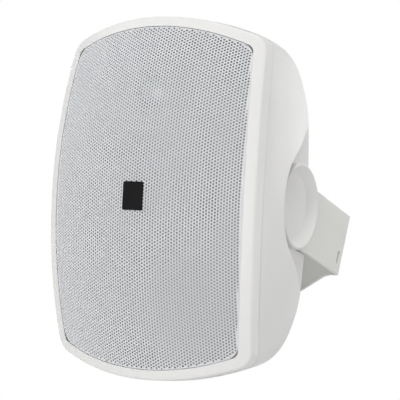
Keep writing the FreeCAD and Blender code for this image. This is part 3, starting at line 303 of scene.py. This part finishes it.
# The sheet is laid out flat as hexagon cells, one round each hole, and a plain strip along the edge. The
# dome makes it a little larger than the opening, so the cells are laid out with some to spare.
COLUMN_STEP, ROW_STEP = HOLE_PITCH * math.sqrt(3) / 6, HOLE_PITCH / 2
CORNERS = ((2, 0), (1, 1), (-1, 1), (-2, 0), (-1, -1), (1, -1))
HOLE_SIDES = len(CORNERS)
LAYOUT_SPARE = 1.1
columns = int(HALF_WIDTH * LAYOUT_SPARE / (3 * COLUMN_STEP))
rows = int(HALF_HEIGHT * LAYOUT_SPARE / (2 * ROW_STEP))
cells = [(3 * i, 2 * j + i % 2) for i in range(-columns, columns + 1) for j in range(-rows, rows + 1)]
centres = np.array(cells, float) * (COLUMN_STEP, ROW_STEP)
outside = past_outline(on_dome(centres[:, 0], centres[:, 1], SHEET_INSET))
hole_margin = EDGE_GAP + EDGE_ROUND + LAND
whole_margin = hole_margin + HOLE_PITCH / math.sqrt(3)
whole_cells = {cell for cell, out in zip(cells, outside) if out < -whole_margin}
room = {cell: -out - hole_margin for cell, out in zip(cells, outside) if cell not in whole_cells}
edge_cells = {cell: min(HOLE_RADIUS, left) for cell, left in room.items() if left > HOLE_RADIUS / 2}
corner_index, sheet_points, faces, edge_use, border = {}, [], [], {}, []


def drill(column, row, radius):
    """Adds the walls of one hole and returns its front points."""
    start = len(sheet_points)
    for depth in (0.0, SHEET_THICKNESS):
        for dx, dz in CORNERS:
            length = math.hypot(dx * COLUMN_STEP, dz * ROW_STEP)
            sheet_points.append((column * COLUMN_STEP + dx * COLUMN_STEP / length * radius,
                                 row * ROW_STEP + dz * ROW_STEP / length * radius, depth))
    front = list(range(start, start + HOLE_SIDES))
    for here, after in zip(front, front[1:] + front[:1]):
        faces.append((here, after, after + HOLE_SIDES, here + HOLE_SIDES))
    return front


for column, row in whole_cells:
    loop = []
    for dx, dz in CORNERS:
        key = (column + dx, row + dz)
        if key not in corner_index:
            corner_index[key] = len(sheet_points)
            sheet_points.append((key[0] * COLUMN_STEP, key[1] * ROW_STEP, 0.0))
        loop.append(corner_index[key])
    hole = drill(column, row, HOLE_RADIUS)
    for k in range(HOLE_SIDES):
        n = (k + 1) % HOLE_SIDES
        faces.append((loop[k], loop[n], hole[n], hole[k]))
        edge_use.setdefault(frozenset((loop[k], loop[n])), []).append((loop[k], loop[n]))
for (column, row), radius in edge_cells.items():
    hole = drill(column, row, radius)
    border.extend(zip(hole, hole[1:] + hole[:1]))
border.extend(uses[0] for uses in edge_use.values() if len(uses) == 1)

# Outline of the sheet's front, found by halving along rays from its middle, then the plain strip between
# that outline and the cells, in triangles that leave out the holes near the edge.
RAYS, HALVINGS, RAY_SPARE = 900, 40, 1.3
angles = np.linspace(0, 2 * math.pi, RAYS, endpoint=False)


def outline_measures(inward):
    """Flat sheet measures of the grille's outline, moved inward by a distance."""
    low, high = np.zeros(RAYS), np.full(RAYS, HALF_HEIGHT * RAY_SPARE)
    for _ in range(HALVINGS):
        middle = (low + high) / 2
        out = past_outline(on_dome(middle * np.cos(angles), middle * np.sin(angles), SHEET_INSET)) > -inward
        low, high = np.where(out, low, middle), np.where(out, middle, high)
    return low * np.cos(angles), low * np.sin(angles)


rim_start = len(sheet_points)
for a, b in zip(*outline_measures(EDGE_GAP + EDGE_ROUND)):
    sheet_points.append((a, b, 0.0))
rim = list(range(rim_start, rim_start + RAYS))
used = sorted({v for edge in border for v in edge}) + rim
local = {v: i for i, v in enumerate(used)}
lines = [(local[a], local[b]) for a, b in border + list(zip(rim, rim[1:] + rim[:1]))]
spots, _, triangles, sources, _, _ = delaunay_2d_cdt([Vector(sheet_points[v][:2]) for v in used], lines, [],
                                                     0, 1e-6)
for triangle in triangles:
    middle = sum((spots[v] for v in triangle), Vector((0, 0))) / 3
    column = round(middle.x / (3 * COLUMN_STEP))
    near = [(3 * i, 2 * round((middle.y / ROW_STEP - i % 2) / 2) + i % 2)
            for i in (column - 1, column, column + 1)]
    away, nearest = min((math.hypot(c[0] * COLUMN_STEP - middle.x, c[1] * ROW_STEP - middle.y), c)
                        for c in near)
    in_hole = away < edge_cells.get(nearest, 0.0) * math.sqrt(3) / 2
    past = past_outline(on_dome(np.array(middle.x), np.array(middle.y), SHEET_INSET))
    if nearest not in whole_cells and not in_hole and past < -EDGE_GAP - EDGE_ROUND * 0.9:
        faces.append(tuple(used[sources[v][0]] for v in triangle))

# The edge rolls over a small radius and goes back to the seat.
previous = rim
for turn, depth in ((30, None), (60, None), (90, None), (90, EDGE_DEPTH - SHEET_INSET)):
    angle = math.radians(turn)
    inward = EDGE_GAP + EDGE_ROUND * (1 - math.sin(angle))
    sink = EDGE_ROUND * (1 - math.cos(angle)) if depth is None else depth
    first = len(sheet_points)
    for a, b in zip(*outline_measures(inward)):
        sheet_points.append((a, b, sink))
    ring = list(range(first, first + RAYS))
    for k in range(RAYS):
        n = (k + 1) % RAYS
        faces.append((previous[k], ring[k], ring[n], previous[n]))
    previous = ring

flat = np.array(sheet_points)
placed = on_dome(flat[:, 0], flat[:, 1], SHEET_INSET + flat[:, 2]) * MM + np.array(front_middle)
grille_mesh = bpy.data.meshes.new("grille_sheet")
grille_mesh.from_pydata(placed.tolist(), [], faces)
grille_mesh.validate()
grille_mesh.update()
grille_sheet = bpy.data.objects.new("grille_sheet", grille_mesh)
bpy.context.scene.collection.objects.link(grille_sheet)

# Powder coat: cool white, matt, with the faint orange peel of melted powder.
powder_grille, tree, shader = new_finish("powder_coat_white_grille", IOR=1.5, Specular_IOR_Level=0.35)
skin(tree, shader, colours=("#E6E7E9", "#E0E1E4"), patch_mm=40, roughness=(0.5, 0.6), grain_mm=1.6,
     relief_mm=0.01)
grille_mesh.materials.append(powder_grille)
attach(grille_sheet, "cabinet")
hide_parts("grille")


# Terminals: two posts turned from brass, pushed through the floor of the cup up to a collar, with moulded
# nuts of red polycarbonate and black ABS. The pivot inserts in the pockets are turned from the same brass.
# Yellow metal with a soft shine; the red is strong and glossy.
brass, tree, shader = new_finish("brass_turned", Metallic=1.0)
skin(tree, shader, colours=("#C9A45A", "#B8924A"), patch_mm=5, roughness=(0.22, 0.34), grain_mm=0.7,
     relief_mm=0.006)
dress(brass, "terminal_posts", "pivot_insert_right", "pivot_insert_left")
red_plastic, tree, shader = new_finish("polycarbonate_red", IOR=1.58, Specular_IOR_Level=0.5)
skin(tree, shader, colours=("#B3181B", "#A31417"), patch_mm=6, roughness=(0.22, 0.3), grain_mm=0.7,
     relief_mm=0.004)
dress(red_plastic, "terminal_nut_red")


# Crossover: a glass-fibre board on the cabinet's posts, with the inductor, two film capacitors and a
# resistor soldered to it. Green solder mask, a glossy red-brown wrap on the capacitors, chalky white
# cement on the resistor.
board, tree, shader = new_finish("glass_fibre_board", IOR=1.55, Specular_IOR_Level=0.5)
skin(tree, shader, colours=("#1F5A35", "#1A4F2E"), patch_mm=5, roughness=(0.3, 0.42), grain_mm=0.7,
     relief_mm=0.01)
dress(board, "crossover_board")
film, tree, shader = new_finish("polyester_film_wrap", IOR=1.6, Specular_IOR_Level=0.5)
skin(tree, shader, colours=("#9E3A1E", "#8E3219"), patch_mm=7, roughness=(0.2, 0.3), grain_mm=0.7,
     relief_mm=0.004)
dress(film, "crossover_capacitors")
ceramic, tree, shader = new_finish("ceramic_cement", IOR=1.6, Specular_IOR_Level=0.35)
skin(tree, shader, colours=("#DEDBD0", "#D2CFC3"), patch_mm=4, roughness=(0.7, 0.85), grain_mm=0.7,
     relief_mm=0.03)
dress(ceramic, "crossover_resistor")


# Clamp knobs: round cups of the cabinet's white ABS, moulded on the bolts that clamp the arms. Each is
# turned from its section: flat against the arm, a straight side, a thin rounded lip, a sloping wall and a
# flat floor.
KNOB_RADIUS, KNOB_HEIGHT, KNOB_FLOOR = 36.7, 11.0, 2.6
LIP_WIDTH, LIP_DROP, LIP_STEPS = 1.8, 0.5, 4
WALL_SLOPE, FOOT_ROUND = 6.0, 1.0
KNOB_SIDES, SHARP_ANGLE = 128, math.radians(40)
wall_top = KNOB_RADIUS - LIP_WIDTH - LIP_DROP
wall_foot = wall_top - WALL_SLOPE
section = [(KNOB_RADIUS, 0.0)]
for step in range(LIP_STEPS + 1):
    angle = math.radians(90 * step / LIP_STEPS)
    section.append((KNOB_RADIUS - LIP_WIDTH * (1 - math.cos(angle)),
                    KNOB_HEIGHT - LIP_WIDTH * (1 - math.sin(angle))))
section.append((wall_top, KNOB_HEIGHT - LIP_DROP))
section.append((wall_foot + FOOT_ROUND / 2, KNOB_FLOOR + FOOT_ROUND / 2))
section.append((wall_foot - FOOT_ROUND / 2, KNOB_FLOOR))
for name, body, outward in (("clamp_knob_right", "knob_right", 1), ("clamp_knob_left", "knob_left", -1)):
    knob_low, knob_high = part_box(name)
    _, axis_y, axis_z = (knob_low + knob_high) / 2
    face_x = knob_low.x if outward > 0 else knob_high.x
    points = [(face_x, axis_y, axis_z), (face_x + outward * KNOB_FLOOR * MM, axis_y, axis_z)]
    for radius, height in section:
        for k in range(KNOB_SIDES):
            angle = 2 * math.pi * k / KNOB_SIDES
            points.append((face_x + outward * height * MM, axis_y + radius * MM * math.cos(angle),
                           axis_z + radius * MM * math.sin(angle)))
    rings = [range(2 + i * KNOB_SIDES, 2 + (i + 1) * KNOB_SIDES) for i in range(len(section))]
    knob_faces = []
    for k in range(KNOB_SIDES):
        n = (k + 1) % KNOB_SIDES
        knob_faces.append((0, rings[0][n], rings[0][k])[::outward])
        knob_faces.append((1, rings[-1][k], rings[-1][n])[::outward])
        for near, far in zip(rings, rings[1:]):
            knob_faces.append((near[k], near[n], far[n], far[k])[::outward])
    knob_mesh = bpy.data.meshes.new(name + "_bowl")
    knob_mesh.from_pydata(points, [], knob_faces)
    knob_mesh.shade_smooth()
    knob_mesh.set_sharp_from_angle(angle=SHARP_ANGLE)
    knob_mesh.materials.append(abs_white)
    knob = bpy.data.objects.new(name + "_bowl", knob_mesh)
    bpy.context.scene.collection.objects.link(knob)
    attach(knob, body)
    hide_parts(name)


# Wall bracket: 3 mm steel sheet bent to a U, with round arm ends. White powder coat, a touch warmer and
# glossier than the grille's, with a fine orange peel.
powder_steel, tree, shader = new_finish("powder_coat_white_steel", IOR=1.5, Specular_IOR_Level=0.45)
skin(tree, shader, colours=("#E4E4E0", "#DEDEDA"), patch_mm=50, roughness=(0.34, 0.44), grain_mm=1.8,
     relief_mm=0.012, edge_mm=0.6)
dress(powder_steel, "wall_bracket")


# Stage: a round floor of matt pale paint, well under the hanging speaker, and a white surround that the
# floor goes over into at its edge. Both only carry the light and the shadow.
FLOOR_DROP, FLOOR_RADIUS, FLOOR_SIDES = 0.6, 2.2, 96
low, high = cad_box
floor_mesh = bpy.data.meshes.new("floor")
floor_edge = [(FLOOR_RADIUS * math.cos(2 * math.pi * k / FLOOR_SIDES),
               FLOOR_RADIUS * math.sin(2 * math.pi * k / FLOOR_SIDES), 0) for k in range(FLOOR_SIDES)]
floor_mesh.from_pydata(floor_edge, [], [tuple(range(FLOOR_SIDES))])
floor = bpy.data.objects.new("floor", floor_mesh)
floor.location = (0, (low.y + high.y) / 2, low.z - FLOOR_DROP)
bpy.context.scene.collection.objects.link(floor)


def seen(tree):
    """1 for rays that show the background: from the camera, off a gloss or through glass."""
    path = node(tree, "ShaderNodeLightPath")
    direct = calc(tree, "ADD", path.outputs["Is Camera Ray"], path.outputs["Is Glossy Ray"])
    return calc(tree, "ADD", direct, path.outputs["Is Transmission Ray"], use_clamp=True)


# Matt white paint that shows the shadow; what the camera sees of it is lifted, little in the middle, and
# towards the edge up to the surround's white.
LIFT_START, LIFT_MIDDLE, LIFT_EDGE = 0.3, 0.3, 0.95
paint, tree, shader = new_finish("floor_paint", Base_Color=linear("#CFCFCF"), Roughness=0.9, IOR=1.45)
spot = node(tree, "ShaderNodeTexCoord").outputs["Object"]
away = node(tree, "ShaderNodeVectorMath", {0: spot}, operation="LENGTH")
fade = node(tree, "ShaderNodeMapRange",
            {"Value": away.outputs["Value"], "From Min": LIFT_START, "From Max": FLOOR_RADIUS,
             "To Min": LIFT_MIDDLE, "To Max": LIFT_EDGE}, interpolation_type="SMOOTHSTEP")
tree.links.new(calc(tree, "MULTIPLY", seen(tree), fade.outputs["Result"]), shader.inputs["Emission Strength"])
shader.inputs["Emission Color"].default_value = (1, 1, 1, 1)
floor_mesh.materials.append(paint)

# The surround is paper white to the camera; as a light it is dimmer, most of all from below.
LIGHT_FROM_BELOW, LIGHT_FROM_ABOVE = 0.0, 0.3
world = bpy.data.worlds.new("surround")
world.use_nodes = True
tree = world.node_tree
tree.nodes.clear()
heading = node(tree, "ShaderNodeSeparateXYZ",
               {"Vector": node(tree, "ShaderNodeTexCoord").outputs["Generated"]})
height = node(tree, "ShaderNodeMapRange",
              {"Value": heading.outputs["Z"], "From Min": -1.0, "From Max": 1.0,
               "To Min": LIGHT_FROM_BELOW, "To Max": LIGHT_FROM_ABOVE})
level = node(tree, "ShaderNodeMapRange",
             {"Value": seen(tree), "To Min": height.outputs["Result"], "To Max": 1.0})
sky = node(tree, "ShaderNodeBackground", {"Color": (1, 1, 1, 1), "Strength": level.outputs["Result"]})
node(tree, "ShaderNodeOutputWorld", {"Surface": sky.outputs["Background"]})
bpy.context.scene.world = world

# Large soft lamps, with place from the body's middle and size in metres, and power in watts: one in front,
# one from the left, one high over the body, and weaker ones round both sides to the back.
LAMPS = (("front", (0.4, -2.0, 0.0), 1.0, 22.0), ("left", (-1.7, -1.2, 0.9), 1.0, 9.5),
         ("top", (0.6, -0.1, 2.1), 0.8, 18.0), ("side", (2.2, 0.3, 0.0), 0.8, 3.5),
         ("right rear", (1.8, 1.4, -0.2), 0.8, 9.0), ("rear", (0.35, 2.2, 0.4), 0.6, 4.5),
         ("left rear", (-1.8, 1.4, 0.3), 0.8, 9.0))
body_middle = (low + high) / 2
for name, offset, size, watts in LAMPS:
    lamp = bpy.data.lights.new(name, "AREA")
    lamp.shape = "SQUARE"
    lamp.size = size
    lamp.energy = watts
    holder = bpy.data.objects.new(name, lamp)
    holder.location = body_middle + Vector(offset)
    holder.rotation_mode = "QUATERNION"
    holder.rotation_quaternion = Vector(offset).to_track_quat("Z", "Y")
    bpy.context.scene.collection.objects.link(holder)

# Camera: a long lens about a metre from the front's middle, to its right, held slightly askew. Place and
# aim are in metres from that middle, as fitted to the photo's outlines.
LENS, SENSOR_WIDTH, ROLL = 121.5, 36.0, math.radians(2.954)
CAMERA_PLACE, CAMERA_AIM = Vector((0.56078, -0.92139, -0.02687)), Vector((0.04617, 0.02812, -0.00057))
camera = bpy.data.objects.new("camera", bpy.data.cameras.new("camera"))
camera.data.sensor_width = SENSOR_WIDTH
camera.data.lens = LENS
camera.location = front_middle + CAMERA_PLACE
camera.rotation_mode = "QUATERNION"
camera.rotation_quaternion = (CAMERA_AIM - CAMERA_PLACE).to_track_quat("-Z", "Y") @ Quaternion((0, 0, 1), ROLL)
bpy.context.scene.collection.objects.link(camera)
bpy.context.scene.camera = camera
bpy.context.scene.view_settings.view_transform = "Standard"
